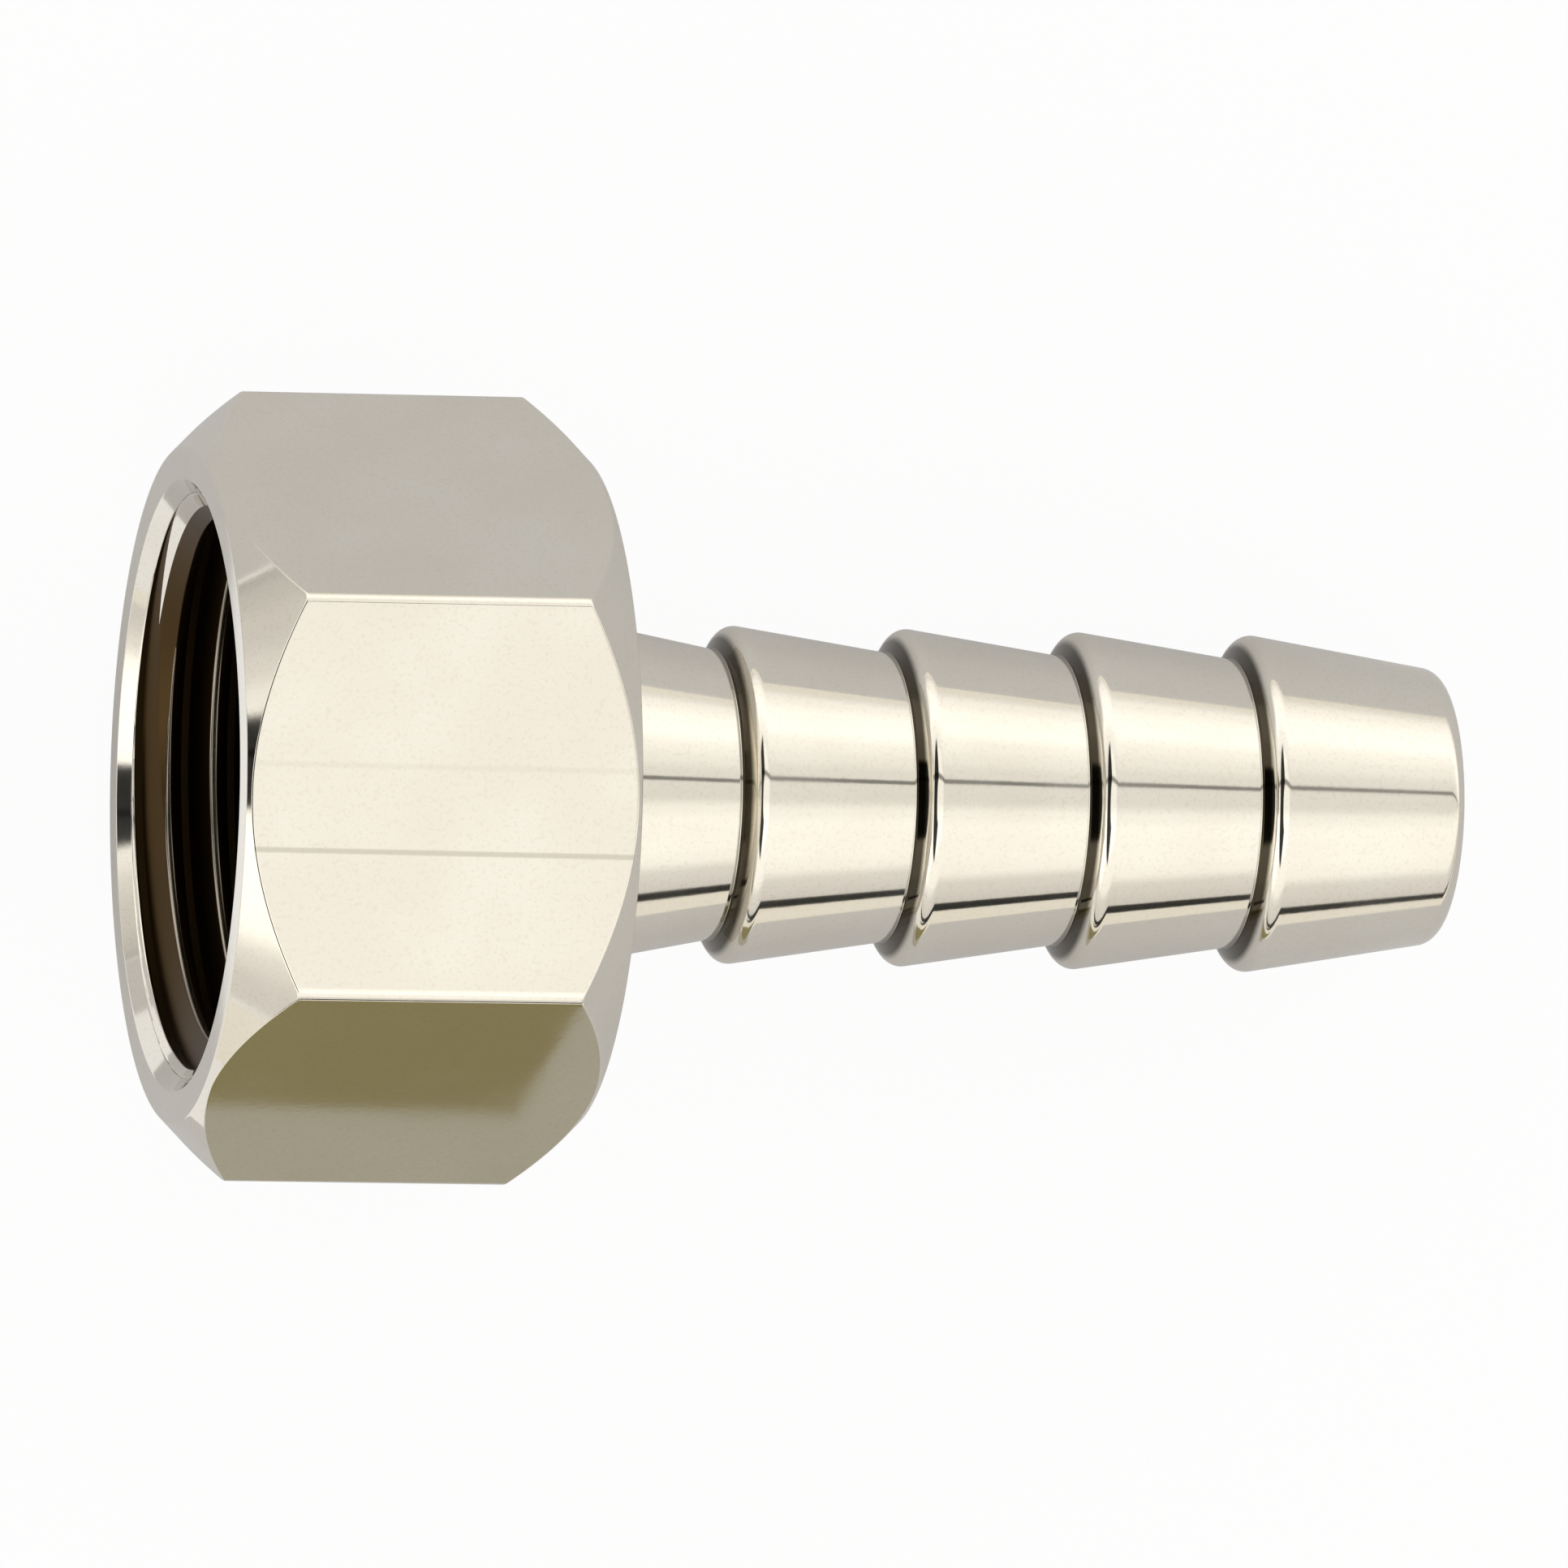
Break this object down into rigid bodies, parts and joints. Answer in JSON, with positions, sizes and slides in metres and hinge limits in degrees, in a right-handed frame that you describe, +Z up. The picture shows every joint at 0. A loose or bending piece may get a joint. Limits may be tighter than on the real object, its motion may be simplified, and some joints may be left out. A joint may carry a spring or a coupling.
{
  "type": "hose tail",
  "caption": "Screw-on hose tail: a hexagon nut end with an inner thread, and a barbed tail that a hose is pushed over.",
  "frame": {"origin": "on the table, under the middle of the part's box as it lies at rest", "axes": "+Z up from the table, +X along the part's length towards the tail's tip, in plan"},
  "size_m": [0.0636, 0.037, 0.0352],
  "materials": {
    "nickel_plate": "bright nickel plate on brass, turned and milled"
  },
  "bodies": {
    "root": {"hose_tail": "nickel_plate"}
  },
  "joints": []
}
